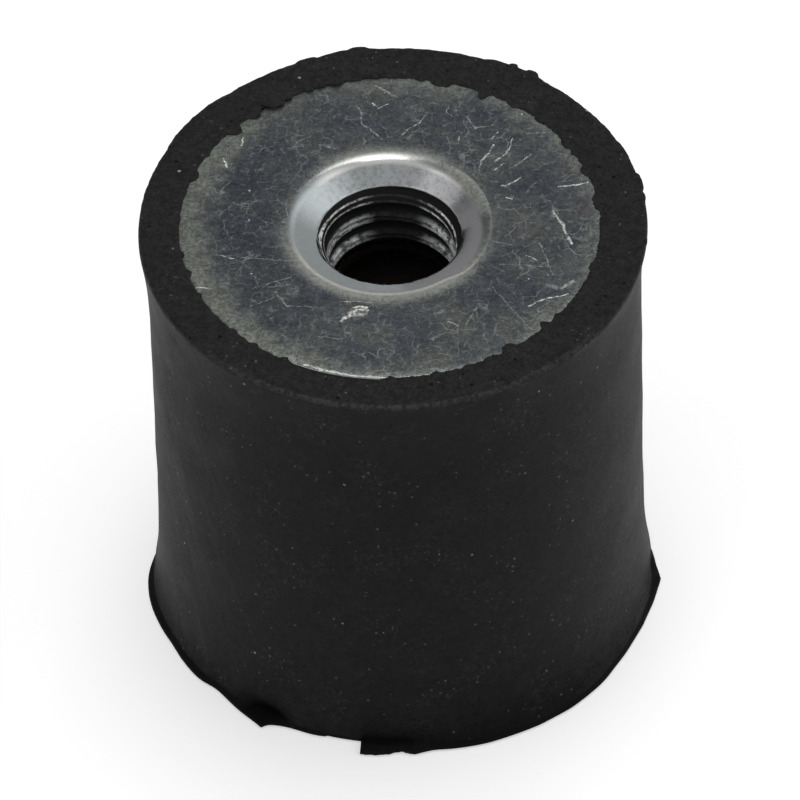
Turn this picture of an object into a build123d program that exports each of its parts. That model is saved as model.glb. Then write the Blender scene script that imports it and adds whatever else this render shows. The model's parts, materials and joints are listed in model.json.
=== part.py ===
"""Cylindrical rubber buffer with a threaded steel insert bonded into each end.

The buffer stands on its lower face, with the origin at the centre of that face and +Z up.
Lengths are in millimetres and angles in degrees.
"""

import os
from math import radians, tan

from build123d import *

# Rubber body
height = 20.0
end_diameter = 20.8
waist_diameter = 20.2
flare_height = 4.0  # from the straight waist out to each end

# Steel inserts: a flat disc with a drawn collar that carries the thread
plate_diameter = 17.6
plate_thickness = 1.5
collar_diameter = 8.0
insert_depth = 4.0  # from the face of the disc to the end of the collar
root_leg = 0.6  # of the slope under the disc, where the collar is drawn out of it

# Thread M6 x 1, bored here to its minor diameter, and the lead-in that opens it
thread_major_diameter = 6.0
thread_minor_diameter = 5.0
mouth_diameter = 8.1  # of the lead-in cone, where it meets the face
mouth_angle = 110.0  # included angle of the lead-in cone
shoulder_radius = 1.2  # rounds the edge between the face and the cone
cavity_depth = 5.5  # of the blind hole that goes on into the rubber, from the face

# Moulding flash: the thin fin that is left along parts of the lower edge
flash_thickness = 0.25
flash_root = 0.5  # how far the fin starts inside the body

# The fin has two lobes. Each rises to a sharp tip, falls off behind it and ends where it is
# torn away. Angles run from +X, and the reach is measured from the lower edge outwards.
left_rise_angles = [176, 180, 184, 195, 207, 218, 221.5, 228, 233, 236.7]
left_rise_reach = [0.03, 0.19, 0.33, 0.34, 0.29, 0.29, 0.20, 0.36, 0.51, 0.70]
left_fall_angles = [236.7, 237.6, 239.5, 244, 251]
left_fall_reach = [0.70, 0.43, 0.25, 0.13, 0.05]
front_rise_angles = [259.5, 262, 265.5, 268.3, 270.8, 273.5, 280, 294, 312, 320, 327, 336, 346, 352]
front_rise_reach = [0.72, 0.70, 0.63, 0.51, 0.64, 0.55, 0.53, 0.61, 0.59, 0.49, 0.36, 0.32, 0.37, 0.46]
front_fall_angles = [352, 356.5, 361]
front_fall_reach = [0.46, 0.20, 0.03]

end_radius = end_diameter / 2
waist_radius = waist_diameter / 2
plate_radius = plate_diameter / 2
collar_radius = collar_diameter / 2
bore_radius = thread_minor_diameter / 2
mouth_radius = mouth_diameter / 2

# Heights on the upper insert, and the depth to which the lead-in cone reaches the thread
plate_underside = height - plate_thickness
collar_end = height - insert_depth
mid_plane = Plane.XY.offset(height / 2)
cone_depth = (mouth_radius - bore_radius) / tan(radians(mouth_angle / 2))


def corner(x, y):
    """The corner of the sketch in work that lies nearest to (x, y)."""
    return vertices().sort_by_distance((x, y, 0)).first


def polar_point(angle, radius):
    """The point of a sketch at an angle from its X axis and a distance from its origin."""
    return Vector(radius, 0).rotate(Axis.Z, angle)


def fin_edge(angles, reaches):
    """The points of one run of the fin's outline."""
    return [polar_point(angle, end_radius + reach) for angle, reach in zip(angles, reaches)]


# Half section of the solid that an insert would be without its hole
with BuildSketch() as insert_blank:
    with BuildLine():
        Polyline(
            (0, height),
            (plate_radius, height),
            (plate_radius, plate_underside),
            (collar_radius, plate_underside),
            (collar_radius, collar_end),
            (0, collar_end),
            close=True,
        )
    make_face()
    chamfer(corner(collar_radius, plate_underside), length=root_leg)

# Upper insert: the blank less its bore and lead-in, turned about the axis
with BuildPart() as upper_insert:
    with BuildSketch(Plane.XZ):
        add(insert_blank.sketch_local)
        with BuildLine():
            Polyline(
                (0, height),
                (mouth_radius, height),
                (bore_radius, height - cone_depth),
                (bore_radius, collar_end),
                (0, collar_end),
                close=True,
            )
        make_face(mode=Mode.SUBTRACT)
        fillet(corner(mouth_radius, height), radius=shoulder_radius)
    revolve(axis=Axis.Z)

# Lower insert: the same stamping, facing down
with BuildPart() as lower_insert:
    mirror(upper_insert.part, about=mid_plane)

# The room that an insert and the blind hole behind it take out of the rubber
with BuildPart() as upper_seat:
    with BuildSketch(Plane.XZ):
        add(insert_blank.sketch_local)
        with Locations((0, height)):
            Rectangle(thread_major_diameter / 2, cavity_depth, align=(Align.MIN, Align.MAX))
    revolve(axis=Axis.Z)

# Rubber body: straight waist, flared ends and flash, moulded round both inserts
with BuildPart() as rubber_body:
    with BuildSketch(Plane.XZ):
        with BuildLine():
            waist = Line((waist_radius, flare_height), (waist_radius, height - flare_height))
            TangentArc(waist @ 0, (end_radius, 0), tangent=(0, -1))
            TangentArc(waist @ 1, (end_radius, height), tangent=(0, 1))
            Polyline((end_radius, height), (0, height), (0, 0), (end_radius, 0))
        make_face()
    revolve(axis=Axis.Z)

    with BuildSketch():
        for rise_angles, rise_reach, fall_angles, fall_reach in (
            (left_rise_angles, left_rise_reach, left_fall_angles, left_fall_reach),
            (front_rise_angles, front_rise_reach, front_fall_angles, front_fall_reach),
        ):
            inner = end_radius - flash_root
            start, end = rise_angles[0], fall_angles[-1]
            with BuildLine():
                rise = Spline(fin_edge(rise_angles, rise_reach))
                fall = Spline(fin_edge(fall_angles, fall_reach))
                Line(polar_point(start, inner), rise @ 0)
                Line(polar_point(end, inner), fall @ 1)
                CenterArc((0, 0), inner, start, end - start)
            make_face()
    extrude(amount=flash_thickness)

    add(upper_seat.part, mode=Mode.SUBTRACT)
    mirror(upper_seat.part, about=mid_plane, mode=Mode.SUBTRACT)

rubber_body.part.label = "rubber_body"
upper_insert.part.label = "upper_insert"
lower_insert.part.label = "lower_insert"

os.makedirs("parts", exist_ok=True)
export_step(rubber_body.part, "parts/rubber_body.step")
export_step(upper_insert.part, "parts/upper_insert.step")
export_step(lower_insert.part, "parts/lower_insert.step")
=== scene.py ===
"""Looks of a cylindrical rubber buffer with a threaded steel insert bonded into each end.

The frame gives the sizes of the solids. Everything here is in metres, and a value written with
mm is a length in millimetres. Angles are in degrees from +X, seen from above.
"""

import json
from functools import reduce
from math import cos, pi, radians, sin, tan

import bmesh
import bpy
import numpy as np
from mathutils import Matrix, Vector, noise


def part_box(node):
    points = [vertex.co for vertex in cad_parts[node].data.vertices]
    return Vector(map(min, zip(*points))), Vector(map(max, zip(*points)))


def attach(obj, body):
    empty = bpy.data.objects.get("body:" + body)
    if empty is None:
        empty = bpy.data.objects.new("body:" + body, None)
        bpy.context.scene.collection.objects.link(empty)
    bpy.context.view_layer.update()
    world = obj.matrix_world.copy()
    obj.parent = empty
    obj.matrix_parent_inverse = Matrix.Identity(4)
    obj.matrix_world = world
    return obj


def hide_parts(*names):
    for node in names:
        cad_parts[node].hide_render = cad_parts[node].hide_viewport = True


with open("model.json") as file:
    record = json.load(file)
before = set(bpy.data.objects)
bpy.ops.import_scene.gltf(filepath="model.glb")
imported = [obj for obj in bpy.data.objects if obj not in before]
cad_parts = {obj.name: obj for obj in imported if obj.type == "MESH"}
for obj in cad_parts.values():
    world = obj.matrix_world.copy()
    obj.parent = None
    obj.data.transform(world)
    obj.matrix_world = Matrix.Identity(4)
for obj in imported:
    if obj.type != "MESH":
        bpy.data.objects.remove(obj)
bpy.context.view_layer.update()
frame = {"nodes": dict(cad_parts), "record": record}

mm = 0.001

# Sizes from the solids
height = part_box("rubber_body")[1].z
insert_low, insert_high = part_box("upper_insert")
plate_radius = insert_high.x
insert_depth = height - insert_low.z
mounts = {mount["name"]: mount for mount in frame["record"]["mounts"]}
minor_radius = mounts["upper_thread"]["dims"]["r_mm"] * mm

# Steel insert
plate_thickness = 1.5 * mm
edge_round = 0.15 * mm  # of the disc and of the collar's end
collar_radius = 4.0 * mm
root_leg = 0.6 * mm
major_radius = 3.0 * mm
pitch = 1.0 * mm
crest_flat = 0.24 * mm
root_flat = 0.10 * mm
first_crest = 0.15 * mm  # depth of a crest's middle where it crosses the +Y side, less whole turns
mouth_radius = 3.94 * mm
mouth_slope = 36.5  # of the lead-in cone, below the face
shoulder_radius = 1.0 * mm
mouth_centre = (-0.22 * mm, 0.06 * mm)  # the mouth was pressed a little off the axis
foot_centre = (-0.14 * mm, 0.0)
cone_foot_radius = 2.99 * mm  # where the lead-in cone ends in a sharp edge
thread_start_depth = 0.84 * mm
thread_start_radius = 2.92 * mm
thread_end_radius = 3.04 * mm
thread_end_depth = insert_depth - 0.1 * mm  # from there the end of the bore widens

# Where the cone is gentler and ends higher, along the front: (angle, half width in degrees, share)
mouth_lip = [(270, 95, 1.0)]
lip_rise = 0.34 * mm  # how much higher the foot of the cone lies there
lip_widening = 0.07 * mm  # how much further out it lies
lip_easing = 0.46  # share by which the slope is gentler there

# Rubber body
end_radius = 10.4 * mm
film_height = 0.05 * mm  # how far the torn film stands above the steel
film_centre = (-0.15 * mm, -0.09 * mm)
film_radius = 8.6 * mm
cavity_radius = 3.0 * mm
cavity_depth = 5.5 * mm
skin_radius = 2.42 * mm  # of the rubber skin that has run up over the last thread
rim_round = 0.25 * mm
fin_top = 0.22 * mm  # where the top of the fin lies
fin_round = 0.06 * mm  # how far the faces of the fin stop short of its edge

# Along the lower edge, as (angle, half width in degrees, share or depth in mm): where the side flares
# out into the fin, where the fin's edge is ragged, and where the side is hollow above the fin
flares = [(204, 32, 0.5), (313, 43, 1.0)]
torn_edges = [(266, 8, 1.0)]
hollows = [(236, 5, 0.3)]

# Where the film reaches in over the steel: (angle, half width in degrees, depth in mm)
film_notches = [
    (175.5, 1.5, 0.08), (165.5, 1.5, 0.08), (158.8, 2.5, 0.20), (149.6, 1.0, 0.12),
    (138.0, 2.4, 0.38), (130.0, 2.0, 0.25), (123.0, 3.2, 0.33), (118.8, 1.3, 0.22),
    (112.3, 1.2, 0.13), (108.7, 1.2, 0.11), (104.5, 2.0, 0.20), (81.0, 1.6, 0.10),
    (75.0, 3.2, 0.28), (62.2, 1.8, 0.38), (53.0, 1.8, 0.15), (43.0, 2.0, 0.12),
    (31.0, 2.2, 0.17), (27.0, 0.9, 0.13), (19.0, 2.2, 0.20), (6.5, 3.2, 0.20),
    (188.8, 1.4, 0.14), (196.0, 2.0, 0.16), (205.0, 1.0, 0.13), (214.8, 0.8, 0.08),
    (221.6, 1.2, 0.13), (229.0, 1.4, 0.13), (238.8, 1.2, 0.15), (268.0, 0.7, 0.10),
    (280.3, 1.1, 0.11), (289.0, 1.0, 0.07), (296.0, 2.2, 0.09), (302.0, 2.4, 0.30),
    (315.2, 1.4, 0.28), (320.0, 1.4, 0.11), (341.5, 1.8, 0.12),
]

# In the same form: where the film's lip has lifted off the steel, and where it has drawn back from
# the steel's edge
film_lifts = [
    (130.5, 1.6, 0.12), (124.5, 4.5, 0.17), (118.8, 2.0, 0.16), (112.4, 1.2, 0.11),
    (108.8, 1.8, 0.12), (104.6, 2.4, 0.18), (92.0, 11.0, 0.06), (79.0, 3.0, 0.05),
]
bare_edge = [(254.0, 13.0, 0.15)]

# Burrs round the upper rim: (angle, half width in degrees, height in mm)
rim_burrs = [
    (141.0, 11.0, 0.11), (109.0, 2.6, 0.12), (99.0, 7.0, 0.11), (96.8, 2.8, 0.21),
    (59.5, 8.0, 0.13), (60.3, 1.3, 0.26), (55.4, 1.9, 0.26), (12.0, 3.0, 0.12),
    (7.0, 1.6, 0.05), (23.0, 3.0, 0.05), (353.0, 1.0, 0.06), (299.0, 1.2, 0.08),
    (317.0, 5.0, 0.09),
]

# Scratches on the upper face, in millimetres: where they start and end, half width, and strength
face_scratches = [
    ((0.51, 5.22), (0.83, 5.60), 0.05, 0.6), ((0.83, 5.60), (1.21, 5.83), 0.05, 0.6),
    ((1.21, 5.83), (1.53, 6.35), 0.045, 0.6), ((3.60, 2.91), (3.69, 3.49), 0.04, 0.4),
    ((3.69, 3.49), (4.01, 3.96), 0.07, 0.7), ((4.01, 3.96), (4.22, 4.43), 0.07, 0.7),
    ((4.17, 4.73), (4.42, 5.15), 0.06, 0.6), ((4.69, 3.83), (4.86, 4.17), 0.06, 0.8),
    ((4.86, 4.17), (5.02, 4.81), 0.05, 0.6), ((4.23, 3.46), (4.76, 3.93), 0.05, 0.7),
    ((4.18, 2.94), (4.64, 3.35), 0.05, 0.6), ((4.83, 3.05), (5.36, 3.41), 0.06, 0.5),
    ((5.36, 3.41), (5.74, 3.79), 0.06, 0.7), ((4.50, 2.05), (4.77, 2.09), 0.06, 0.8),
    ((4.77, 2.09), (5.30, 2.50), 0.06, 0.8), ((6.81, 1.90), (7.29, 1.93), 0.06, 1),
    ((7.29, 1.95), (8.05, 2.09), 0.05, 1), ((6.54, 0.52), (6.90, -0.20), 0.09, 0.8),
    ((6.90, -0.20), (7.23, -1.38), 0.11, 0.9), ((3.18, 6.13), (3.50, 5.44), 0.04, 0.5),
    ((3.50, 5.44), (4.26, 5.60), 0.04, 0.5), ((2.46, 6.80), (2.36, 6.46), 0.04, 0.5),
    ((2.36, 6.46), (2.57, 6.14), 0.04, 0.4), ((2.78, 4.61), (2.87, 4.98), 0.05, 0.5),
    ((4.70, 1.37), (4.94, 1.24), 0.05, 0.8), ((5.61, 5.05), (6.64, 5.10), 0.04, 0.4),
    ((-0.68, 7.08), (-0.45, 6.78), 0.05, 0.8), ((-0.45, 6.78), (-0.06, 7.00), 0.05, 0.7),
    ((-0.52, 8.15), (0.25, 7.43), 0.07, 0.4), ((-6.00, 5.32), (-6.13, 4.88), 0.06, 0.8),
    ((-6.86, 4.14), (-6.70, 3.65), 0.06, 0.9), ((-3.99, 4.69), (-3.58, 4.73), 0.05, 0.4),
    ((-2.88, 4.80), (-2.27, 4.48), 0.05, 0.4), ((-1.20, 6.83), (-1.15, 5.93), 0.06, 0.35),
    ((-1.15, 5.93), (-0.34, 5.02), 0.06, 0.4), ((-1.75, -4.65), (-1.19, -4.67), 0.1, 1),
    ((-1.60, -4.85), (-1.11, -4.84), 0.13, 1), ((-1.68, -4.93), (-2.01, -5.22), 0.14, 1),
    ((-2.09, -5.22), (-2.21, -5.43), 0.1, 0.8), ((-1.75, -5.0), (-1.3, -4.95), 0.34, 0.6),
    ((-3.75, -7.78), (-3.2, -8.02), 0.07, 0.9), ((-3.1, -8.07), (-2.5, -8.3), 0.1, 1),
    ((-2.5, -8.3), (-1.6, -8.5), 0.06, 0.8), ((-1.5, -8.5), (-0.3, -8.7), 0.05, 0.8),
    ((-2.27, -4.26), (-0.95, -4.40), 0.04, 0.5), ((-7.35, -1.42), (-4.15, -1.89), 0.04, 0.3),
    ((-7.00, -1.48), (-6.56, -1.68), 0.05, 0.6), ((-5.80, -3.39), (-4.17, -2.80), 0.05, 0.3),
    ((-4.79, -3.81), (-4.33, -4.50), 0.05, 0.4), ((-4.33, -4.45), (-2.98, -4.60), 0.04, 0.3),
    ((-5.89, -4.43), (-4.87, -3.91), 0.05, 0.3), ((-8.04, -3.25), (-7.47, -3.32), 0.05, 0.6),
    ((5.38, -4.88), (5.92, -4.56), 0.06, 0.8), ((5.92, -4.56), (7.02, -4.26), 0.06, 1),
    ((6.23, -3.72), (6.78, -3.93), 0.16, 0.3), ((6.78, -3.93), (7.25, -3.57), 0.13, 0.4),
    ((4.31, -2.44), (5.04, -2.52), 0.04, 0.25), ((5.04, -2.52), (6.41, -2.70), 0.05, 0.25),
    ((3.94, -3.72), (5.49, -6.24), 0.06, 0.22), ((4.06, -1.10), (4.87, -1.37), 0.05, 0.35),
    ((5.97, -1.30), (6.45, -3.16), 0.05, 0.35), ((2.13, -5.63), (2.50, -5.89), 0.05, 0.45),
    ((2.52, -5.89), (2.49, -7.53), 0.05, 0.18), ((2.51, -6.11), (3.27, -6.09), 0.04, 0.2),
    ((5.41, -2.01), (5.86, -2.27), 0.05, 0.7), ((2.80, -5.84), (3.30, -4.90), 0.05, 0.3),
]

# Camera: a long lens, looking down on the buffer from -Y
camera_elevation = 45.947
camera_distance = 542.846 * mm
camera_shift = (0.0828 * mm, -0.1977 * mm)  # of the aim, to the right and up
camera_roll = -1.7584
lens = 590.916
sensor = 36.0

body_segments = 960
insert_segments = 384
rows_per_turn = 30


# Meshes

def ring(radius, z, segments=body_segments):
    """Points round the axis. The radius and the height are numbers, or one value for each point."""
    turn = np.linspace(0, 2 * pi, segments, endpoint=False)
    points = np.empty((segments, 3))
    points[:, 0] = np.cos(turn) * radius
    points[:, 1] = np.sin(turn) * radius
    points[:, 2] = z
    return points


def pole(z):
    """The one point on the axis at a height."""
    return np.array([[0.0, 0.0, z]])


def rings_to_bmesh(rings):
    """Joins each ring to the next one with quads, and a ring to a pole with triangles."""
    bm = bmesh.new()
    loops = [[bm.verts.new(point) for point in points] for points in rings]
    for lower, upper in zip(loops, loops[1:]):
        count = max(len(lower), len(upper))
        for i in range(count):
            j = (i + 1) % count
            if len(lower) == 1:
                bm.faces.new((lower[0], upper[j], upper[i]))
            elif len(upper) == 1:
                bm.faces.new((lower[i], lower[j], upper[0]))
            else:
                bm.faces.new((lower[i], lower[j], upper[j], upper[i]))
    return bm


def new_object(name, data):
    """Puts a mesh, a lamp or a camera into the scene."""
    made = bpy.data.objects.new(name, data)
    bpy.context.scene.collection.objects.link(made)
    return made


def finish_mesh(name, bm, sharp_angle=40.0):
    """Turns a closed bmesh's faces outwards and makes a smooth-shaded object of it."""
    bmesh.ops.recalc_face_normals(bm, faces=bm.faces)
    mesh = bpy.data.meshes.new(name)
    bm.to_mesh(mesh)
    bm.free()
    mesh.shade_smooth()
    mesh.set_sharp_from_angle(angle=radians(sharp_angle))
    return new_object(name, mesh)


def humps(listed, sharpness, segments=body_segments):
    """One value for each point of a ring: the tallest of the listed humps that reach it.

    Each hump is an angle, a half width in degrees and a height.
    """
    turn = np.linspace(0, 360, segments, endpoint=False)
    values = np.zeros(segments)
    for angle, half_width, tall in listed:
        off = np.abs((turn - angle + 180) % 360 - 180) / half_width
        values = np.maximum(values, tall * np.clip(1 - off**sharpness, 0, 1))
    return values


def off_axis(radius, centre, segments=body_segments):
    """The distance from the axis of each point of a circle whose centre lies a little off it."""
    turn = np.linspace(0, 2 * pi, segments, endpoint=False)
    return radius + centre[0] * np.cos(turn) + centre[1] * np.sin(turn)


def soften(values, degrees):
    """The values of a ring, averaged over an angle to either side."""
    reach = int(len(values) * degrees / 360)
    window = np.hanning(2 * reach + 3)
    wrapped = np.concatenate([values[-reach - 1:], values, values[:reach + 1]])
    return np.convolve(wrapped, window / window.sum(), "valid")


def ripple(size, tall, seed, radius=end_radius, segments=body_segments):
    """One value for each point of a ring: smooth noise with features of a size, up to a height."""
    points = ring(radius / size, seed * 7.3, segments)
    return tall * np.array([noise.noise(Vector(point)) for point in points])


# Steel insert

def thread_nodes():
    """Geometry nodes for the tapped bore: rows that follow the helix, cut off by both cones."""
    tree = bpy.data.node_groups.new("tapped_bore", "GeometryNodeTree")
    sockets = {
        "Pitch": pitch,
        "Major Radius": major_radius,
        "Minor Radius": minor_radius,
        "Crest Flat": crest_flat,
        "Root Flat": root_flat,
        "Crest Depth": first_crest,
        "Split Depth": 0.08 * mm,
        "Split Width": 0.07 * mm,
        "Start Depth": thread_start_depth,
        "End Depth": thread_end_depth,
        "Start Radius": thread_start_radius,
        "End Radius": thread_end_radius,
        "Lead Slope": 0.75,
        "Root Start Slope": 4,
        "Core Radius": 2.52 * mm,
        "Core Lean": 0.33 * mm,
        "Core Length": 3.1 * mm,
        "Face Height": height,
        "Lump Height": 0.012 * mm,
        "Lump Size": 0.12 * mm,
    }
    tree.interface.new_socket("Geometry", in_out="OUTPUT", socket_type="NodeSocketGeometry")
    for name, value in sockets.items():
        made = tree.interface.new_socket(name, in_out="INPUT", socket_type="NodeSocketFloat")
        made.default_value = value
    for name in ("Segments", "Rows", "Seed"):
        tree.interface.new_socket(name, in_out="INPUT", socket_type="NodeSocketInt")
    tree.interface.new_socket("Material", in_out="INPUT", socket_type="NodeSocketMaterial")
    given = Outputs(tree.nodes.new("NodeGroupInput"))

    # Across the grid lies one turn, clockwise from +Y, and down it the rows, one turn more than the bore
    grid = join("GeometryNodeMeshGrid", {
        "Size X": 1, "Size Y": 1, "Vertices X": given["Segments"] + 1, "Vertices Y": given["Rows"] + 1,
    })
    place = separate(add_node(tree, "GeometryNodeInputPosition")[0])
    turned = place["X"] + 0.5
    down = place["Y"] + 0.5
    row_pitch = given["Pitch"] / rows_per_turn
    reach = given["Rows"] * row_pitch
    helix = (turned - 1) * given["Pitch"]
    free_depth = given["Start Depth"] + (down * reach + helix)
    depth = smaller(larger(free_depth, given["Start Depth"]), given["End Depth"])
    past_start, before_end = depth - given["Start Depth"], given["End Depth"] - depth

    # The thread's own radius: how far the depth is from the nearest crest says where on a flank it is
    along = depth - given["Crest Depth"] - turned * given["Pitch"]
    turns = along / given["Pitch"]
    off_crest = abs(turns - maths("ROUND", turns)) * given["Pitch"]
    flank = join("ShaderNodeMapRange", {
        "Value": off_crest,
        "From Min": given["Crest Flat"] * 0.5, "From Max": (given["Pitch"] - given["Root Flat"]) * 0.5,
        "To Min": given["Minor Radius"], "To Max": given["Major Radius"],
    })[0]

    # The groove that a forming tap leaves along the middle of each crest
    split = 1 - smaller(off_crest / given["Split Width"], 1)
    flank_radius = split * given["Split Depth"] + flank

    # The punched core hole leans to -X at its mouth, so the crests are cut short there
    angle = pi / 2 - turned * (2 * pi)
    across, beyond = maths("COSINE", angle), maths("SINE", angle)
    lean = given["Core Lean"] * (1 - smaller(depth / given["Core Length"], 1))
    core = given["Core Radius"] - lean * (across * 1.4)
    core = split * (given["Split Depth"] * 0.8) + core
    lead = given["Start Radius"] - past_start * given["Lead Slope"]
    end_cone = given["End Radius"] - before_end
    radius = larger(flank_radius, core, lead, end_cone)

    # A root that begins at the foot of the lead-in starts at the foot's own radius
    radius = smaller(radius, past_start * given["Root Start Slope"] + given["Start Radius"])

    # Lumps on the crests and flanks, none where the bore meets the rest of the insert
    z = given["Face Height"] - depth
    smooth = combine(across * radius, beyond * radius, z)
    lumps = join("ShaderNodeTexNoise", {
        "Vector": smooth, "W": given["Seed"], "Scale": 1 / given["Lump Size"], "Detail": 3.0,
    }, noise_dimensions="4D")[0]
    fade = smaller(smaller(past_start, before_end) * (4 / mm), 1)
    radius = radius + (lumps - 0.5) * given["Lump Height"] * (fade * 4)
    wall = combine(across * radius, beyond * radius, z)
    placed = join("GeometryNodeSetPosition", {"Geometry": grid["Mesh"], "Position": wall})
    merged = join("GeometryNodeMergeByDistance", {"Geometry": placed[0], "Distance": 0.0005 * mm})
    real = join("GeometryNodeRealizeInstances", {"Geometry": merged[0]})
    finished = join("GeometryNodeSetMaterial", {"Geometry": real[0], "Material": given["Material"]})
    feed(tree.nodes.new("NodeGroupOutput").inputs[0], finished[0])
    return tree


def tapped_bore(material):
    """The mesh of the threaded wall."""
    tree = thread_nodes()
    carrier = new_object("bore_carrier", bpy.data.meshes.new("bore_carrier"))
    modifier = carrier.modifiers.new("thread", "NODES")
    modifier.node_group = tree
    turns = int((insert_depth - thread_start_depth) / pitch) + 2
    wanted = {"Segments": insert_segments, "Rows": turns * rows_per_turn, "Seed": 3, "Material": material}
    for item in tree.interface.items_tree:
        if item.in_out == "INPUT" and item.name in wanted:
            modifier[item.identifier] = wanted[item.name]
    depsgraph = bpy.context.evaluated_depsgraph_get()
    mesh = bpy.data.meshes.new_from_object(carrier.evaluated_get(depsgraph))
    bpy.data.objects.remove(carrier)
    return mesh


def insert_rings():
    """Rings of the insert from the end of its thread round the outside to the thread's start."""
    def at(radius, depth):
        return ring(radius, height - depth, insert_segments)

    # The end of the thread, the collar, the underside of the disc and its rounded edge
    face_start = plate_radius - edge_round
    outline = [
        (thread_end_radius, thread_end_depth), (thread_end_radius + 0.1 * mm, insert_depth),
        (collar_radius - edge_round, insert_depth), (collar_radius, insert_depth - edge_round),
        (collar_radius, plate_thickness + root_leg), (collar_radius + root_leg, plate_thickness),
        (face_start, plate_thickness), (plate_radius, plate_thickness - edge_round),
    ]
    for step in range(5):
        turn = step * pi / 8
        outline.append((face_start + edge_round * cos(turn), edge_round * (1 - sin(turn))))
    rings = [at(radius, depth) for radius, depth in outline]

    # The face
    tangent = shoulder_radius * tan(radians(mouth_slope) / 2)
    face_edge = off_axis(mouth_radius + tangent, mouth_centre, insert_segments)
    face_steps = 14
    for step in range(1, face_steps):
        rings.append(at(face_start + (face_edge - face_start) * step / face_steps, 0))

    # The shoulder and the lead-in cone, which is gentler and ends higher along the front
    lip = humps(mouth_lip, 3, insert_segments)
    foot = off_axis(cone_foot_radius, foot_centre, insert_segments) + lip_widening * lip
    foot_depth = (mouth_radius - cone_foot_radius) * tan(radians(mouth_slope)) - lip_rise * lip
    slope = radians(mouth_slope) * (1 - lip_easing * lip)
    shoulder_steps = 10
    for step in range(shoulder_steps + 1):
        bend = slope * step / shoulder_steps
        rings.append(at(face_edge - shoulder_radius * np.sin(bend), shoulder_radius * (1 - np.cos(bend))))
    cone_start = face_edge - shoulder_radius * np.sin(slope)
    start_depth = shoulder_radius * (1 - np.cos(slope))
    for share in (0.25, 0.5, 0.75, 0.9, 1.0):
        depth = start_depth + (foot_depth - start_depth) * share
        rings.append(at(cone_start + (foot - cone_start) * share, depth))
    ragged = ripple(0.3 * mm, 0.02 * mm, 17, 3 * mm, insert_segments)
    for inward, deeper in ((0.03 * mm, 0.03 * mm), (0.06 * mm, 0.07 * mm)):
        rings.append(at(foot - inward + ragged, foot_depth + deeper))
    return rings


def make_insert(name, material):
    """The upper insert: stamped disc and drawn collar, with its tapped bore."""
    rings = insert_rings() + [ring(thread_start_radius, height - thread_start_depth, insert_segments)]
    bm = rings_to_bmesh(rings)
    bm.from_mesh(tapped_bore(material))
    bmesh.ops.remove_doubles(bm, verts=bm.verts, dist=0.001 * mm)
    insert = finish_mesh(name, bm)
    insert.data.materials.clear()
    insert.data.materials.append(material)
    return insert


def turn_over(name, piece, material):
    """A copy of an upper piece, turned over to face down at the other end."""
    mesh = piece.data.copy()
    mesh.name = name
    middle = Matrix.Translation((0, 0, height / 2))
    mesh.transform(middle @ Matrix.Rotation(pi, 4, "X") @ middle.inverted())
    mesh.materials.clear()
    mesh.materials.append(material)
    return new_object(name, mesh)


# Rubber body

def solid_points():
    """The corners of the rubber's solid, and how far from the axis they lie."""
    points = np.array([vertex.co for vertex in frame["nodes"]["rubber_body"].data.vertices])
    return points, np.hypot(points[:, 0], points[:, 1])


def solid_side():
    """Heights and radii down the side of the rubber's solid, away from the flash."""
    points, radii = solid_points()
    side = (radii > plate_radius + 0.5 * mm) & (points[:, 1] > 0) & (np.abs(points[:, 0]) < 2 * mm)
    order = np.argsort(points[side, 2])
    return points[side, 2][order], radii[side][order]


def solid_fin():
    """How far the fin of the rubber's solid reaches past its lower edge, for each point of a ring."""
    points, radii = solid_points()
    outline = (radii > end_radius + 0.005 * mm) & (points[:, 2] < 0.3 * mm)
    angles = np.degrees(np.arctan2(points[outline, 1], points[outline, 0])) % 360
    order = np.argsort(angles)
    known, reach = list(angles[order]), list(radii[outline][order] - end_radius)
    for first, second in zip(list(known), list(known[1:]) + [known[0] + 360]):
        if second - first > 8:
            known += [first + 0.2, second - 0.2]
            reach += [0.0, 0.0]
    turn = np.linspace(0, 360, body_segments, endpoint=False)
    return np.interp(turn, known, reach, period=360)


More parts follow.
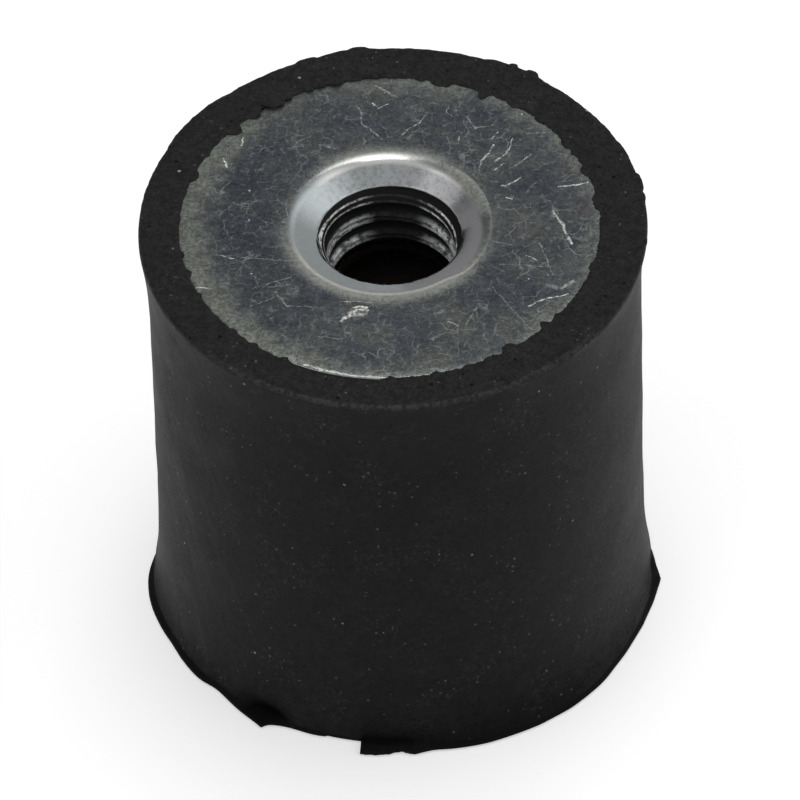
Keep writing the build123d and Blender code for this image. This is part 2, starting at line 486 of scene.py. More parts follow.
def end_rings(notches, lifts, bare, skin_edge, seed):
    """Radii and depths from the bottom of the blind hole out to the flat of the rim, for one end."""
    rings = [
        (0, cavity_depth - 0.04 * mm), (1.5 * mm, cavity_depth), (2.6 * mm, cavity_depth - 0.08 * mm),
        (cavity_radius - 0.05 * mm, cavity_depth - 0.4 * mm), (cavity_radius, insert_depth + 0.15 * mm),
        # The skin that has run up over the end of the thread
        (2.75 * mm, insert_depth + 0.02 * mm), (skin_radius, insert_depth - 0.1 * mm),
        (skin_radius, skin_edge + 0.06 * mm), (skin_radius + 0.02 * mm, skin_edge),
        (minor_radius, skin_edge + 0.02 * mm),
        # The seat round the insert
        (minor_radius, insert_depth), (collar_radius, insert_depth),
        (collar_radius, plate_thickness + root_leg), (collar_radius + root_leg, plate_thickness),
        (plate_radius, plate_thickness), (plate_radius, 0),
    ]

    # The torn film over the steel's edge
    edge = off_axis(film_radius, film_centre)
    drawn_back = soften(humps(bare, 6) * mm, 0.8)
    edge = edge - soften(humps(notches, 3) * mm, 0.5) + drawn_back
    edge = edge + ripple(0.45 * mm, 0.04 * mm, seed) + ripple(0.2 * mm, 0.05 * mm, seed + 1)
    lift, sunk = soften(humps(lifts, 2) * mm, 1.2), drawn_back * 0.35
    foot = np.minimum(edge + 0.03 * mm + lift * 2.5, plate_radius - 0.002 * mm)
    bottom = sunk - lift
    top = np.minimum(sunk - film_height - soften(lift, 4) * 0.75, bottom - 0.03 * mm)
    rings += [
        (foot, 0), (edge + 0.01 * mm, bottom), (edge, bottom * 0.6 + top * 0.4),
        (edge + 0.03 * mm, top + 0.008 * mm), (edge + 0.09 * mm, top),
        (edge + 0.25 * mm, soften(top, 2) * 0.9),
    ]
    for radius, share in ((9.15, 0.6), (9.4, 0.3), (9.7, 0.1), (9.95, 0)):
        uneven = ripple(1.5 * mm, 0.03 * mm, seed + radius, radius * mm)
        rings.append((radius * mm, uneven + soften(top, 4) * share))
    return rings


def body_rings():
    """Rings of the rubber body from the lower blind hole round the outside to the upper one."""
    seeded = np.random.default_rng(11)
    lower_notches = [
        (seeded.uniform(0, 360), seeded.uniform(0.8, 3.0), seeded.uniform(0.06, 0.34)) for _ in range(40)
    ]
    lower_skin_edge = 3.55 * mm + ripple(1.0 * mm, 0.3 * mm, 31)
    lower = end_rings(lower_notches, [], [], lower_skin_edge, 41)
    turn = np.radians(np.linspace(0, 360, body_segments, endpoint=False))
    skin_edge = 3.6 * mm + 0.3 * mm * np.cos(turn - radians(20)) + ripple(0.8 * mm, 0.25 * mm, 5)
    upper = end_rings(film_notches, film_lifts, bare_edge, skin_edge, 3)

    rings = [pole(lower[0][1])] + [ring(radius, depth) for radius, depth in lower[1:]]

    # Lower edge: underside of the fin, its edge, and its top, which runs into a flare of the side
    fin = solid_fin()
    ragged = ripple(0.9 * mm, 0.03 * mm, 8) + ripple(0.16 * mm, 0.05 * mm, 9) * humps(torn_edges, 4)
    fin_edge = fin + ragged * np.clip(fin / (0.3 * mm), 0.25, 1)
    flare, hollow = humps(flares, 4), soften(humps(hollows, 2) * mm, 1)
    flare_height = (0.5 + 0.9 * flare) * mm + hollow * 1.2
    heights, radii = solid_side()
    tip = end_radius + fin_edge
    rings += [ring(10.2 * mm, 0.0), ring(tip - fin_round, 0.0), ring(tip, 0.05 * mm)]
    rings += [ring(tip - 0.02 * mm, 0.13 * mm), ring(tip - fin_round, 0.17 * mm)]
    for share in (0.0, 0.15, 0.4, 0.7, 1.0):
        z = fin_top + (flare_height - fin_top) * share
        out = ((fin_edge - fin_round) * flare - hollow) * (1 - share) ** 2
        rings.append(ring(np.interp(z, heights, radii) + out, z))

    # Side
    side_rows = 22
    side_bottom, side_top = flare_height + 0.2 * mm, height - rim_round - 0.15 * mm
    for row in range(side_rows + 1):
        share = row / side_rows
        z = side_bottom + (side_top - side_bottom) * share
        swell = ripple(4 * mm, 0.05 * mm, 20 + row * 0.06)
        rings.append(ring(np.interp(z, heights, radii) + swell, z))

    # Upper rim: rounded, with burrs
    burr = humps(rim_burrs, 4) * mm + ripple(0.4 * mm, 0.03 * mm, 13) + ripple(0.17 * mm, 0.02 * mm, 14)
    for inward, depth, share in (
        (0.0, 0.26, 0.0), (0.01, 0.18, 0.5), (0.02, 0.12, 0.9), (0.045, 0.07, 1.0), (0.09, 0.035, 1.0),
        (0.15, 0.012, 0.7), (0.22, 0.002, 0.3),
    ):
        rings.append(ring(end_radius - inward * mm + burr * share, height - depth * mm))
    rings.append(ring(10.12 * mm, height + ripple(1.5 * mm, 0.02 * mm, 15)))
    rings += [ring(radius, height - depth) for radius, depth in reversed(upper[1:])]
    rings.append(pole(height - upper[0][1]))
    return rings


def make_rubber_body(material):
    body = finish_mesh("buffer_rubber", rings_to_bmesh(body_rings()), sharp_angle=60)
    body.data.materials.append(material)
    return body


# Node trees

class Field:
    """What a node puts out. The signs of arithmetic work on it, and add Math nodes to its tree."""

    def __init__(self, socket):
        self.socket = socket

    __add__ = __radd__ = lambda self, other: maths("ADD", self, other)
    __sub__ = lambda self, other: maths("SUBTRACT", self, other)
    __rsub__ = lambda self, other: maths("SUBTRACT", other, self)
    __mul__ = __rmul__ = lambda self, other: maths("MULTIPLY", self, other)
    __truediv__ = lambda self, other: maths("DIVIDE", self, other)
    __rtruediv__ = lambda self, other: maths("DIVIDE", other, self)
    __abs__ = lambda self: maths("ABSOLUTE", self)


class Outputs:
    """All that a node puts out, by name or number."""

    def __init__(self, node):
        self.sockets = node.outputs

    def __getitem__(self, key):
        return Field(self.sockets[key])


def feed(socket, value):
    """Links a socket to a field, or sets it to a plain value."""
    if isinstance(value, Field):
        socket.id_data.links.new(value.socket, socket)
    else:
        socket.default_value = value


def add_node(tree, kind, inputs=None, **settings):
    """Adds a node with its settings and its inputs, by name or number, and gives its outputs."""
    made = tree.nodes.new(kind)
    for name, value in settings.items():
        setattr(made, name, value)
    for key, value in (inputs or {}).items():
        feed(made.inputs[key], value)
    return Outputs(made)


def join(kind, inputs, **settings):
    """Adds a node to the tree that the fields among its inputs belong to."""
    tree = next(value.socket.id_data for value in inputs.values() if isinstance(value, Field))
    return add_node(tree, kind, inputs, **settings)


def maths(operation, *values):
    return join("ShaderNodeMath", dict(enumerate(values)), operation=operation)[0]


def larger(*values):
    return reduce(lambda first, second: maths("MAXIMUM", first, second), values)


def smaller(*values):
    return reduce(lambda first, second: maths("MINIMUM", first, second), values)


def vectors(operation, *values):
    """The result of a Vector Math node: a vector, or a value for a distance or such."""
    made = join("ShaderNodeVectorMath", dict(enumerate(values)), operation=operation)
    return made["Value" if operation in ("LENGTH", "DISTANCE", "DOT_PRODUCT") else "Vector"]


def scaled(vector, amount):
    """A place or a colour times a value."""
    return join("ShaderNodeVectorMath", {0: vector, "Scale": amount}, operation="SCALE")["Vector"]


def move(place, *amount):
    return vectors("ADD", place, amount)


def combine(x, y=0.0, z=0.0):
    return join("ShaderNodeCombineXYZ", {"X": x, "Y": y, "Z": z})[0]


def separate(place):
    return join("ShaderNodeSeparateXYZ", {0: place})


def round_axis(place):
    """A place's coordinates, its distance from the axis and its angle round it."""
    at = separate(place)
    return at, maths("SQRT", at["X"] * at["X"] + at["Y"] * at["Y"]), maths("ARCTAN2", at["Y"], at["X"])


def remap(value, from_low, from_high, to_low=0.0, to_high=1.0):
    """A value carried smoothly from one range to another, and held at its ends."""
    inputs = {"Value": value, "From Min": from_low, "From Max": from_high, "To Min": to_low, "To Max": to_high}
    return join("ShaderNodeMapRange", inputs, interpolation_type="SMOOTHSTEP")[0]


def mix_values(amount, first, second):
    return join("ShaderNodeMix", {0: amount, 2: first, 3: second})[0]


def mix_colours(amount, first, second):
    return join("ShaderNodeMix", {0: amount, 6: first, 7: second}, data_type="RGBA")[2]


class Coat:
    """A colour and a roughness that further coats are laid over."""

    def __init__(self, colour, roughness):
        self.colour, self.roughness = colour, roughness

    def lay(self, amount, colour, roughness=None):
        """Lays a coat over the others, where and as much as the amount says."""
        self.colour = mix_colours(amount, self.colour, colour)
        if roughness is not None:
            self.roughness = mix_values(amount, self.roughness, roughness)


def noise_at(place, scale, detail=2.0, roughness=0.5):
    inputs = {"Vector": place, "Scale": scale, "Detail": detail, "Roughness": roughness}
    return join("ShaderNodeTexNoise", inputs)


def cloud(place, size, detail=3.0, roughness=0.55, seed=0):
    """Noise with features of a size, from 0 to 1."""
    if seed:
        place = move(place, seed * 13 * mm, seed * 7 * mm, 0)
    return noise_at(place, 1 / size, detail, roughness)[0]


def grey(value, blue=0.0):
    """A grey with a little blue in it, or a little yellow where that is negative."""
    return (value * (1 - blue * 0.5), value, value * (1 + blue), 1.0)


def facing(angle, middle, outer, inner):
    """1 where an angle round the axis lies near a middle one, falling to 0 between two angles from it."""
    return remap(maths("COSINE", angle - radians(middle)), cos(radians(outer)), cos(radians(inner)))


def new_group(name, inputs, outputs, colours=()):
    """An empty shader node group with float and vector inputs, and float and colour outputs."""
    tree = bpy.data.node_groups.new(name, "ShaderNodeTree")
    for socket, value in inputs.items():
        kind = "NodeSocketVector" if value is None else "NodeSocketFloat"
        made = tree.interface.new_socket(socket, in_out="INPUT", socket_type=kind)
        if value is not None:
            made.default_value = value
    for names, kind in ((outputs, "NodeSocketFloat"), (colours, "NodeSocketColor")):
        for socket in names:
            tree.interface.new_socket(socket, in_out="OUTPUT", socket_type=kind)
    return tree, Outputs(tree.nodes.new("NodeGroupInput")), tree.nodes.new("NodeGroupOutput").inputs


def place_group(group, place, **inputs):
    """Adds a node group at a place, with its other inputs by name, and gives its outputs."""
    return join("ShaderNodeGroup", {"Place": place, **inputs}, node_tree=group)


def specks_group():
    """Small round specks at random places: how much of one lies at a point."""
    inputs = {"Place": None, "Spacing": 1 * mm, "Size": 0.05 * mm, "Share": 0.5}
    tree, given, result = new_group("specks", inputs, ["Mask"])
    scale = 1 / given["Spacing"]
    cells = add_node(tree, "ShaderNodeTexVoronoi", {"Vector": given["Place"], "Scale": scale})
    chance = add_node(tree, "ShaderNodeSeparateColor", {0: cells["Color"]})
    size = given["Size"] * scale * remap(chance[1], 0.0, 1.0, 0.5, 1.3)
    dot = remap(cells["Distance"] / size, 1.0, 0.5)
    there = maths("LESS_THAN", chance[0], given["Share"])
    feed(result["Mask"], dot * there)
    return tree


def wisps_group():
    """A net of fine wavering lines, broken into short pieces: how much of one lies at a point."""
    inputs = {"Place": None, "Size": 1 * mm, "Width": 0.04 * mm, "Length": 0.6 * mm}
    tree, given, result = new_group("wisps", inputs, ["Mask"])
    scale = 1 / given["Size"]
    bend = noise_at(given["Place"], scale * 1.6)["Color"]
    shift = scaled(vectors("MULTIPLY", bend, (0.7, 0.7, 0.7)), given["Size"])
    bent = vectors("ADD", given["Place"], shift)
    cells = add_node(tree, "ShaderNodeTexVoronoi", {"Vector": bent, "Scale": scale}, feature="DISTANCE_TO_EDGE")
    line = remap(cells["Distance"] / (given["Width"] * scale), 1.0, 0.2)
    broken = noise_at(move(given["Place"], 31 * mm, 17 * mm, 0), 1 / given["Length"])[0]
    feed(result["Mask"], line * remap(broken, 0.46, 0.62))
    return tree


def scratch_group():
    """A scratch across the face from one point to another: how much of it lies at a point."""
    inputs = {"Place": None, "From": None, "To": None, "Width": 0.05 * mm}
    tree, given, result = new_group("scratch", inputs, ["Mask"])
    run = vectors("SUBTRACT", given["To"], given["From"])
    reached = vectors("SUBTRACT", given["Place"], given["From"])
    share = vectors("DOT_PRODUCT", reached, run) / vectors("DOT_PRODUCT", run, run)
    nearest = vectors("ADD", given["From"], scaled(run, smaller(larger(share, 0), 1)))
    off = vectors("DISTANCE", given["Place"], nearest)
    feed(result["Mask"], remap(off / given["Width"], 1.0, 0.25))
    return tree


# Colours of the zinc, of the drawn metal in the mouth, and of the bore, with the painted highlights and the
# painted shade of the bore among them
blue_zinc = (0.24, 0.275, 0.325, 1)
green_zinc = (0.33, 0.352, 0.335, 1)
violet_zinc = (0.31, 0.295, 0.32, 1)
dark_zinc = (0.17, 0.195, 0.23, 1)
edge_zinc = (0.42, 0.45, 0.38, 1)
wisp_zinc = (0.7, 0.72, 0.68, 1)
pressed_zinc_and_sheen = (0.56, 0.575, 0.51, 1)
highlight_zinc = (0.7, 0.69, 0.65, 1)
drawn_left = (0.49, 0.53, 0.54, 1)
drawn_right = (0.47, 0.47, 0.49, 1)
drawn_fleck = (0.2, 0.22, 0.2, 1)
crescent_highlight_white = (0.9, 0.9, 0.87, 1)
bare_crest = (0.78, 0.81, 0.8, 1)
bore_shade_black = (0.002, 0.002, 0.002, 1)
bore_shade_brown = (0.014, 0.015, 0.013, 1)
scratch_bright = (0.95, 0.94, 0.87, 1)


def zinc_group(specks, wisps):
    """The finish of an insert, from its place measured as on the upper one.

    Mottled zinc on the face, rougher and paler towards its edge, smooth in the mouth with painted highlights on
    its shoulder and lip, and in the bore painted shade, black, left off the crests at either side where light
    falls on them.
    """
    inputs = {"Place": None, "Seed": 0.0}
    tree, given, result = new_group("zinc_finish", inputs, ["Roughness", "Height", "Metal"], ["Color"])
    at, radius, angle = round_axis(given["Place"])
    depth = height - at["Z"]
    place = vectors("ADD", given["Place"], combine(given["Seed"] * (29 * mm)))
    grain = cloud(place, 0.16 * mm, 3, 0.7)
    patch = cloud(place, 2.0 * mm, 4, 0.65, 1)
    hue = cloud(place, 2.6 * mm, 2, 0.5, 2)

    base = mix_colours(remap(patch, 0.3, 0.7), blue_zinc, green_zinc)
    coat = Coat(base, remap(patch, 0.36, 0.62, 0.19, 0.24))
    coat.lay(remap(hue, 0.6, 0.85), violet_zinc)
    fine = place_group(wisps, place, Size=0.5 * mm, Width=0.035 * mm, Length=0.3 * mm)["Mask"]
    coarse = place_group(wisps, place, Size=1.4 * mm, Width=0.035 * mm, Length=0.7 * mm)["Mask"]
    net = larger(fine * 0.27, coarse * 0.4)
    coat.lay(remap(at["X"], -2.5 * mm, -5.5 * mm, 0.0, 0.5), dark_zinc)
    scuff = cloud(place, 0.45 * mm, 4, 0.75, 6)

    # The band along the edge, weaker at the front and at the back left
    wander = (cloud(place, 0.9 * mm, 4, 0.7, 3) - 0.5) * (2.4 * mm)
    edge = radius - at["X"] * 0.03 + wander
    weaker = larger(facing(angle, 280, 38, 15), facing(angle, 112, 24, 8))
    band_share = remap(edge, 7.2 * mm, 8.6 * mm) * (1 - weaker * 0.6)
    coat.lay(band_share * 0.7, edge_zinc)
    coat.roughness = mix_values(band_share * remap(grain, 0.3, 0.7), coat.roughness, 0.3)

    # Grain, the net of fine lines, and bright specks
    dim = scaled(coat.colour, 0.68)
    pale = scaled(coat.colour, 1.34)
    coat.colour = mix_colours(remap(scuff + grain, 0.74, 1.32), dim, pale)
    coat.lay(net, wisp_zinc, 0.36)
    dots = place_group(specks, place, Spacing=0.8 * mm, Size=0.05 * mm, Share=0.35)["Mask"]
    coat.lay(dots, grey(0.85), 0.45)

    # A pale ring round the mouth, partly pale zinc that the press left and partly a painted sheen fading out
    # from the shoulder's highlight, strongest at the left, the front and the back right
    from_middle = move(given["Place"], -mouth_centre[0], -mouth_centre[1], 0)
    round_mouth = vectors("LENGTH", vectors("MULTIPLY", from_middle, (1, 1, 0)))
    ring_and_sheen = remap(wander * 0.18 + round_mouth, 4.8 * mm, 4.15 * mm)
    ring_and_sheen = ring_and_sheen * remap(grain, 0.25, 0.65, 0.5, 1.0)
    ring_and_sheen = ring_and_sheen * larger(facing(angle, 262, 105, 40), remap(at["Y"], 2.5 * mm, 4.2 * mm, 0.15, 0.75))
    back_right = facing(angle, 32, 32, 16)
    at_back = remap(round_mouth, 4.4 * mm, 4.15 * mm) * remap(grain, 0.25, 0.65, 0.4, 0.8)
    ring_and_sheen = larger(ring_and_sheen, at_back * back_right)
    coat.lay(ring_and_sheen, pressed_zinc_and_sheen, 0.38)

    # The mouth: satin where the metal was drawn, with dark flecks at its back, and painted near white at the
    # back of the shoulder as a painted highlight where the top softbox's reflection lies
    drawn = mix_colours(remap(at["X"], -2.5 * mm, 2.5 * mm), drawn_left, drawn_right)
    fleck = remap(cloud(place, 0.22 * mm, 4, 0.75, 5), 0.55, 0.38)
    fleck = fleck * mix_values(facing(angle, 80, 75, 35), 0.1, 0.45)
    drawn = mix_colours(fleck, drawn, drawn_fleck)
    crescent_highlight = remap(round_mouth, 3.6 * mm, 3.8 * mm) * facing(angle, 88, 58, 36)
    drawn = mix_colours(crescent_highlight, drawn, crescent_highlight_white)
    mouth = remap(back_right * (0.3 * mm) + round_mouth, 4.15 * mm, 3.9 * mm)
    coat.lay(mouth, drawn, 0.19)

    # A painted highlight along the shoulder, wide at the front and fine at the right, and another on the lip's
    # edge
    on_right = facing(angle, 0, 60, 40)
    off_line = abs(round_mouth - mix_values(on_right, 3.98 * mm, 4.24 * mm))
    line = remap(off_line / mix_values(on_right, 0.14 * mm, 0.07 * mm), 1.0, 0.4)
    line = line * larger(on_right * 0.35, facing(angle, 262, 85, 45))
    line = line * remap(grain, 0.2, 0.6, 0.5, 1.0)
    dull = larger(net, dots, band_share * 0.4, ring_and_sheen * 0.6) * 0.3 + 0.14
    dull = larger(dull * (1 - mouth), line * 0.35)
    lip = remap(radius, 3.14 * mm, 3.08 * mm) * remap(grain, 0.42, 0.56)
    lip = lip * facing(angle, 262, 55, 35)
    painted_highlight_line = larger(line, lip)
    coat.lay(painted_highlight_line, highlight_zinc, 0.42)
    turning = maths("SINE", radius * (2 * pi / (0.13 * mm)))
    lined = remap(radius, 4.2 * mm, 4.5 * mm) * remap(radius, 6.4 * mm, 4.8 * mm)
    relief = turning * lined * 0.1 + grain * mix_values(mouth, 1.0, 0.5)

    # The bore: painted shade, black and brownish, left off the crests at either side, where light falls on
    # them, the first one only along its middle
    spin = maths("ARCTAN2", at["X"] * -1, at["Y"])
    turns = (depth - first_crest) / pitch + spin / (2 * pi)
    off_crest = abs(turns - maths("ROUND", turns))
    band = remap(off_crest, 0.3, 0.19)
    lines = remap(abs(off_crest - 0.1), 0.05, 0.02)
    crest = mix_values(remap(turns, 1.4, 1.6), lines, band)
    sides = larger(facing(angle, 163, 62, 22), facing(angle, 14, 58, 20))
    along = combine(spin * (minor_radius * 0.45), turns * pitch)
    crest_noise = cloud(along, 0.15 * mm, 4, 0.75, 4)
    bare = crest * remap(crest_noise, 0.4, 0.55, 0.12, 1.0) * larger(sides, 0.03)
    bore = remap(depth, 0.7 * mm, 0.74 * mm) * remap(radius, 3.3 * mm, 3.2 * mm)
    bore_shade = bore * (1 - bare)
    coat.lay(bore, bare_crest, 0.35)
    coat.lay(bore_shade, mix_colours(crest_noise, bore_shade_black, bore_shade_brown), remap(crest_noise, 0.35, 0.65, 0.45, 0.8))
    metal = (1 - bore_shade) * mix_values(bore, 1 - dull, 0.35)

    finished = {"Color": coat.colour, "Roughness": coat.roughness, "Height": relief, "Metal": metal}
    for name, value in finished.items():
        feed(result[name], value)
    return tree


# Materials

def new_material(name):
    material = bpy.data.materials.new(name)
    material.use_nodes = True
    tree = material.node_tree
    place = add_node(tree, "ShaderNodeTexCoord")["Object"]
    return material, tree.nodes["Principled BSDF"], place


def add_bump(shader, relief, distance, strength):
    bump = join("ShaderNodeBump", {"Height": relief, "Distance": distance, "Strength": strength})
    feed(shader.inputs["Normal"], bump[0])


def rubber_material(specks, wisps):
    """Moulded natural rubber: matt black and mottled, with pits, crumbs, flow marks and pale dust."""
    material, shader, place = new_material("moulded_rubber")
    at, radius, angle = round_axis(place)
    depth = height - at["Z"]
    smudge = cloud(place, 2.2 * mm, 5, 0.7)
    mottle = cloud(place, 0.4 * mm, 3, 0.7, 2)
    grain = cloud(place, 0.12 * mm, 2)
    crowd = cloud(place, 2.0 * mm, 3, 0.65, 6)

    base = mix_colours(remap(smudge, 0.35, 0.68), grey(0.0085), grey(0.016))
    coat = Coat(base, remap(smudge, 0.3, 0.7, 0.52, 0.66))
    # Painted light: the top of the rim is painted lighter than the side
    top = remap(depth, 0.35 * mm, 0.1 * mm)
    coat.lay(top * 0.75, grey(0.0205))
    darker = scaled(coat.colour, 0.72)
    lighter = scaled(coat.colour, 1.4)
    coat.colour = mix_colours(remap(mottle + grain, 0.75, 1.25), darker, lighter)

    # Painted sheen: the side is painted lighter towards its left and right edges, and a little darker at the
    # front and the back
    painted_sheen = 1 - larger(facing(angle, 263, 92, 25), facing(angle, 83, 92, 25))
    painted_sheen = (1 - top) * (painted_sheen * 1.5 - 0.22) + 1
    coat.colour = scaled(coat.colour, painted_sheen)

    # Flow marks down the left of the side
    sweep = angle * end_radius + at["Z"] * 0.45
    flow_place = combine(sweep, at["Z"] * 0.12)
    flow = remap(cloud(flow_place, 0.7 * mm, 3, 0.6, 9), 0.48, 0.7)
    flow = flow * facing(angle, 196, 40, 12) * (1 - top)
    coat.lay(flow * 0.4, grey(0.034, -0.05))

    # Crumbs and dust, crowded together in places, and pits
    crowded = remap(crowd, 0.4, 0.64, 0.12, 1.0)
    crumbs = place_group(wisps, place, Size=0.4 * mm, Width=0.055 * mm, Length=0.16 * mm)["Mask"]
    crumbs = crumbs * remap(crowd, 0.5, 0.64, 0.0, 0.35)
    coat.lay(crumbs, grey(0.06))
    fray = noise_at(place, 1 / (0.1 * mm))["Color"]
    frayed = vectors("ADD", place, scaled(fray, 0.1 * mm))
    dust = place_group(specks, frayed, Spacing=0.32 * mm, Size=0.055 * mm, Share=crowded * 0.85)["Mask"]
    coat.lay(dust * remap(mottle, 0.3, 0.7, 0.25, 1.0), grey(0.12))
    bright = place_group(specks, frayed, Spacing=1.3 * mm, Size=0.075 * mm, Share=0.45)["Mask"]
    coat.lay(bright, grey(0.3))
    pits = place_group(specks, frayed, Spacing=0.6 * mm, Size=0.085 * mm, Share=0.7)["Mask"]
    coat.lay(pits, grey(0.003))

    # The front of the rim: pale dust and a painted highlight along its rounded edge, with painted shade in a
    # line under it
    front = facing(angle, 272, 60, 30)
    painted_highlight_line = remap(radius, 10.16 * mm, 10.28 * mm) * remap(depth, 0.24 * mm, 0.1 * mm)
    fine = cloud(place, 0.2 * mm, 3, 0.7, 8)
    painted_highlight_line = painted_highlight_line * remap(fine, 0.4, 0.62, 0.1, 0.9)
    coat.lay(painted_highlight_line * front, grey(0.05))
    shade_under_rim = remap(depth, 0.25 * mm, 0.4 * mm) * remap(depth, 1.5 * mm, 0.5 * mm) * front * 0.5

    # Painted shade: the top of the fin, the crease at the flap's root, the hollow above the fin's tip and the
    # lower edge of the front are painted dark
    on_fin = remap(radius, end_radius - 0.02 * mm, end_radius + 0.03 * mm) * remap(at["Z"], 0.3 * mm, 0.22 * mm)
    on_flap = facing(angle, 266, 9, 7)
    crease = on_flap * remap(radius, 10.75 * mm, 10.62 * mm) * remap(at["Z"], 0.5 * mm, 0.3 * mm)
    on_fin = larger(crease, on_fin * (1 - on_flap))
    on_tip = remap(at["Z"], 1.2 * mm, 0.5 * mm) * facing(angle, 235, 9, 3)
    on_front = remap(at["Z"], 1.2 * mm, 0.1 * mm, 0.0, 0.6) * facing(angle, 284, 38, 15)
    dim = larger(on_fin * 0.85, on_tip, on_front)
    coat.lay(larger(dim, shade_under_rim), grey(0.003))

    # The floor of the blind hole is brownish
    inside = maths("LESS_THAN", radius, cavity_radius - 0.02 * mm)
    brown = (0.012, 0.008, 0.006, 1)
    coat.lay(inside * 0.8, brown)

    feed(shader.inputs["Base Color"], coat.colour)
    feed(shader.inputs["Roughness"], coat.roughness)
    shader.inputs["Specular IOR Level"].default_value = 0.08
    add_bump(shader, mottle * 0.8 + grain, 0.015 * mm, 0.7)
    return material


def steel_material(name, zinc, seed, turned_over=False, scratch=None):
    """Zinc-plated steel, with the scratches of the upper face where a scratch group is given."""
    material, shader, place = new_material(name)
    if turned_over:
        place = vectors("MULTIPLY_ADD", place, (1, -1, -1), (0, 0, height))
    finish = place_group(zinc, place, Seed=seed)
    coat, metal = Coat(finish["Color"], finish["Roughness"]), finish["Metal"]
    if scratch:
        marks = face_marks(scratch, place)
        coat.lay(marks, scratch_bright, 0.5)
        metal = metal - marks * 0.75
    feed(shader.inputs["Base Color"], coat.colour)
    feed(shader.inputs["Roughness"], coat.roughness)
    feed(shader.inputs["Metallic"], metal)
    shader.inputs["Specular IOR Level"].default_value = 0.15
    add_bump(shader, finish["Height"], 0.005 * mm, 1.0)
    return material


def face_marks(scratch, place):
    """How much of the upper face's scratches lies at a point, with frayed sides."""
    flat = vectors("MULTIPLY", place, (1, 1, 0))
    fray = vectors("SUBTRACT", noise_at(flat, 1 / (0.3 * mm), 3.0)["Color"], (0.5, 0.5, 0))
    frayed = vectors("ADD", flat, vectors("MULTIPLY", fray, (0.22 * mm, 0.22 * mm, 0)))
    total = 0.0
    for start, end, width, strength in face_scratches:
        ends = {"From": (start[0] * mm, start[1] * mm, 0), "To": (end[0] * mm, end[1] * mm, 0)}
        mask = place_group(scratch, frayed, Width=width * 0.85 * mm, **ends)["Mask"]
        total = larger(total, mask * strength)
    total = total * remap(cloud(flat, 0.2 * mm, 3, 0.7, 5), 0.38, 0.6, 0.15, 1.0)
    return total * remap(separate(place)["Z"], height - 0.3 * mm, height - 0.1 * mm)


# Studio

def make_floor():
    """A plain pale floor that the buffer stands on. It is clear from below, so the underside can be seen."""
    bm = bmesh.new()
    bmesh.ops.create_circle(bm, cap_ends=True, segments=64, radius=3.0)
    mesh = bpy.data.meshes.new("floor")
    bm.to_mesh(mesh)
    bm.free()
    mesh.transform(Matrix.Translation((0, 0, -film_height * 1.2)))
    floor = new_object("floor", mesh)

    material = bpy.data.materials.new("pale_floor")
    material.use_nodes = True
    tree = material.node_tree
    tree.nodes.clear()
    paint = add_node(tree, "ShaderNodeBsdfDiffuse", {"Color": (0.8, 0.8, 0.8, 1)})
    glow = add_node(tree, "ShaderNodeEmission", {"Color": (1, 1, 1, 1), "Strength": 0.45})
    rays = add_node(tree, "ShaderNodeLightPath")
    seen = larger(rays["Is Camera Ray"], rays["Is Glossy Ray"])
    dark = add_node(tree, "ShaderNodeEmission", {"Strength": 0.0})
    shown = join("ShaderNodeMixShader", {0: seen, 1: dark[0], 2: glow[0]})
    lit = join("ShaderNodeAddShader", {0: paint[0], 1: shown[0]})
    clear = add_node(tree, "ShaderNodeBsdfTransparent")
    behind = add_node(tree, "ShaderNodeNewGeometry")["Backfacing"]
    whole = join("ShaderNodeMixShader", {0: behind, 1: lit[0], 2: clear[0]})
    join("ShaderNodeOutputMaterial", {"Surface": whole[0]})
    mesh.materials.append(material)


def make_world():
    """Studio surroundings: pale towards the horizon and to the right, and dim above and behind the buffer."""
    world = bpy.data.worlds.new("studio")
    bpy.context.scene.world = world
    world.use_nodes = True
    tree = world.node_tree
    toward = separate(add_node(tree, "ShaderNodeTexCoord")["Generated"])
    horizon = remap(toward["X"], -0.8, 0.6, 0.33, 0.46)
    front = remap(toward["Y"], -0.5, 0.4, 0.55, 0.05)
    front = larger(front, remap(toward["Z"], sin(radians(38)), sin(radians(50)), 0.0, 0.1))
    above = larger(front, remap(toward["X"], 0.0, 0.85, 0.0, 1.15))
    share = remap(toward["Z"], sin(radians(19)), sin(radians(42)))
    level = mix_values(share, horizon, above)
    backdrop = tree.nodes["Background"]
    feed(backdrop.inputs["Color"], (1, 1, 1, 1))
    feed(backdrop.inputs["Strength"], level)


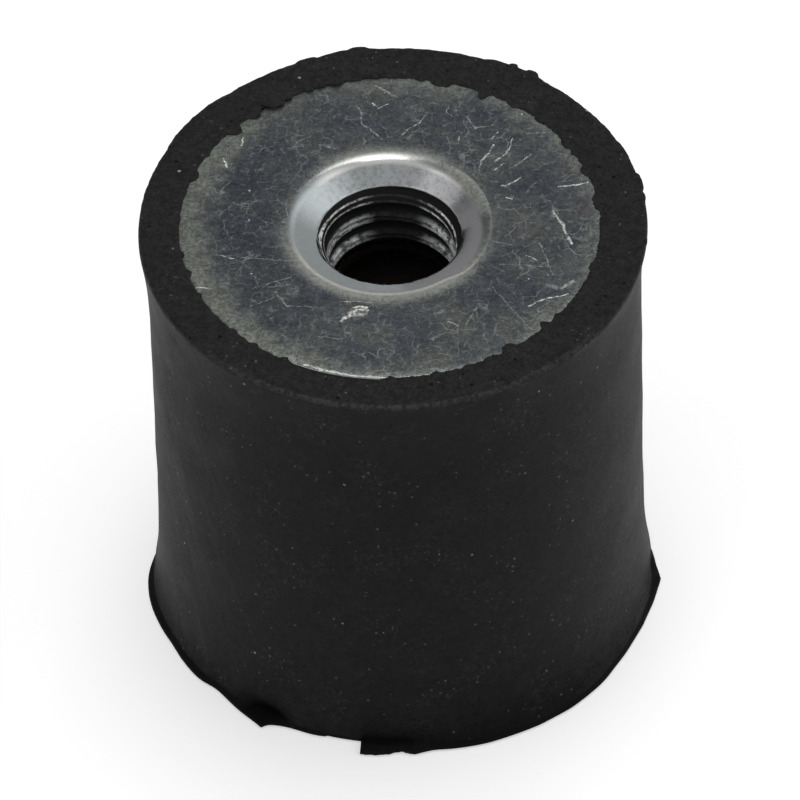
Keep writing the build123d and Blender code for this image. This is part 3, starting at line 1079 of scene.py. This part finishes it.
def softbox(name, toward, distance, size, level, mirrored=True):
    """A square soft lamp that faces the buffer, in a direction given as azimuth and elevation.

    Its level is how bright its face looks, with 1 as white. One that isn't mirrored lights the
    buffer but leaves no image in the steel.
    """
    lamp = bpy.data.lights.new(name, "AREA")
    lamp.shape = "RECTANGLE"
    lamp.size, lamp.size_y = size
    lamp.energy = level * pi * size[0] * size[1]
    azimuth, elevation = (radians(angle) for angle in toward)
    direction = Vector((cos(azimuth) * cos(elevation), sin(azimuth) * cos(elevation), sin(elevation)))
    placed = new_object(name, lamp)
    placed.location = Vector((0, 0, height / 2)) + direction * distance
    placed.rotation_euler = direction.to_track_quat("Z", "Y").to_euler()
    placed.visible_glossy = mirrored


def make_lights():
    softbox("top_softbox", (78, 77.5), 1.0, (0.32, 0.64), 1.8)
    softbox("top_fill", (90, 77.5), 1.1, (0.5, 0.7), 2.8, mirrored=False)
    softbox("left_softbox", (198, 34), 1.2, (1.2, 1.0), 0.5)


def make_camera():
    elevation, roll = radians(camera_elevation), radians(camera_roll)
    back = Vector((0, -cos(elevation), sin(elevation)))
    level = Vector((1, 0, 0))
    upright = back.cross(level)
    right = cos(roll) * level + sin(roll) * upright
    up = cos(roll) * upright - sin(roll) * level
    data = bpy.data.cameras.new("camera")
    data.sensor_width = sensor
    data.lens = lens
    data.clip_start, data.clip_end = 10 * mm, 20.0
    camera = new_object("camera", data)
    aim = Vector((0, 0, height / 2)) + camera_shift[0] * right + camera_shift[1] * up
    turned = Matrix((right, up, back)).transposed().to_4x4()
    camera.matrix_world = Matrix.Translation(aim + back * camera_distance) @ turned
    bpy.context.scene.camera = camera


def main():
    specks, wisps = specks_group(), wisps_group()
    zinc = zinc_group(specks, wisps)
    rubber = rubber_material(specks, wisps)
    upper_steel = steel_material("zinc_plate_upper", zinc, 2.0, scratch=scratch_group())
    lower_steel = steel_material("zinc_plate_lower", zinc, 9.0, turned_over=True)

    body = make_rubber_body(rubber)
    upper = make_insert("buffer_upper_insert", upper_steel)
    lower = turn_over("buffer_lower_insert", upper, lower_steel)
    for piece, node, slot in (
        (body, "rubber_body", "rubber"),
        (upper, "upper_insert", "zinc_plated_steel"),
        (lower, "lower_insert", "zinc_plated_steel"),
    ):
        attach(piece, "root")
        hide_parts(node)

    make_floor()
    make_world()
    make_lights()
    make_camera()
    bpy.context.scene.view_settings.view_transform = "Standard"


main()
